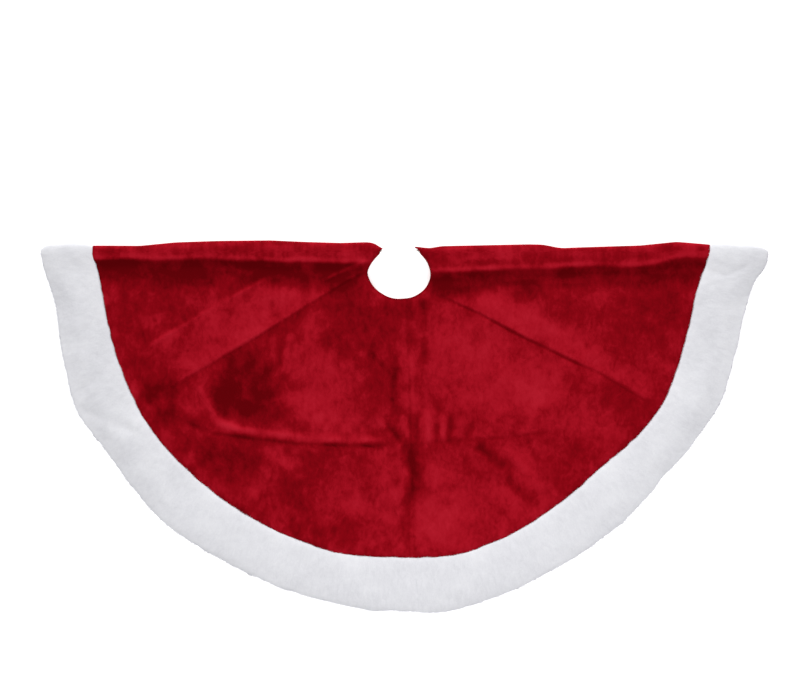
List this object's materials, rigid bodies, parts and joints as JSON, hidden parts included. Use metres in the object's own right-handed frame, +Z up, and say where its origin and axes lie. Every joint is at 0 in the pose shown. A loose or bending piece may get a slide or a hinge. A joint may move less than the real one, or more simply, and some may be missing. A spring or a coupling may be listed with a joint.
{
  "type": "tree skirt",
  "caption": "Round plush tree skirt with a wide pale pile border, a trunk hole and a back slit with closure pads, folded in half plush side out.",
  "frame": {"origin": "on the floor under the middle of the folded skirt's outline", "axes": "+Z up off the floor, +X along the fold, +Y towards the fold, with the rounded hem at -Y"},
  "size_m": [1.22, 0.6224, 0.0248],
  "materials": {
    "red_plush": "crushed short-pile velour",
    "white_pile": "dense soft pile",
    "lining": "thin matte plain weave",
    "red_thread": "twisted polyester thread",
    "red_closure": "woven nylon tape with hooks or loops",
    "label": "blank woven satin ribbon"
  },
  "bodies": {
    "front_half": {"front_plush_left": "red_plush", "front_plush_right": "red_plush", "front_lining_left": "lining", "front_lining_right": "lining", "front_trim_left": "white_pile", "front_trim_right": "white_pile", "front_trim_seam_thread_left": "red_thread", "front_trim_seam_thread_right": "red_thread", "centre_seam_thread": "red_thread", "fold_plush_left": "red_plush", "fold_plush_right": "red_plush", "fold_lining_left": "lining", "fold_lining_right": "lining", "fold_trim_left": "white_pile", "fold_trim_right": "white_pile"},
    "back_left_flap": {"back_plush_left": "red_plush", "back_lining_left": "lining", "back_trim_left": "white_pile", "back_trim_seam_thread_left": "red_thread", "slit_thread_left": "red_thread", "hook_pad_neck": "red_closure", "hook_pad_middle": "red_closure", "hook_pad_hem": "red_closure"},
    "back_right_flap": {"back_plush_right": "red_plush", "back_lining_right": "lining", "back_trim_right": "white_pile", "back_trim_seam_thread_right": "red_thread", "slit_thread_right": "red_thread", "loop_pad_neck": "red_closure", "loop_pad_middle": "red_closure", "loop_pad_hem": "red_closure", "care_label": "label"}
  },
  "joints": [
    {"name": "left_flap_fold", "type": "hinge", "parent": "front_half", "child": "back_left_flap", "pos_m": [0, 0.2988, 0.0124], "axis": [1, 0, 0], "range_deg": [0, 180], "deforming": ["fold_plush_left", "fold_lining_left", "fold_trim_left"]},
    {"name": "right_flap_fold", "type": "hinge", "parent": "front_half", "child": "back_right_flap", "pos_m": [0, 0.2988, 0.0124], "axis": [1, 0, 0], "range_deg": [0, 180], "deforming": ["fold_plush_right", "fold_lining_right", "fold_trim_right"]}
  ]
}
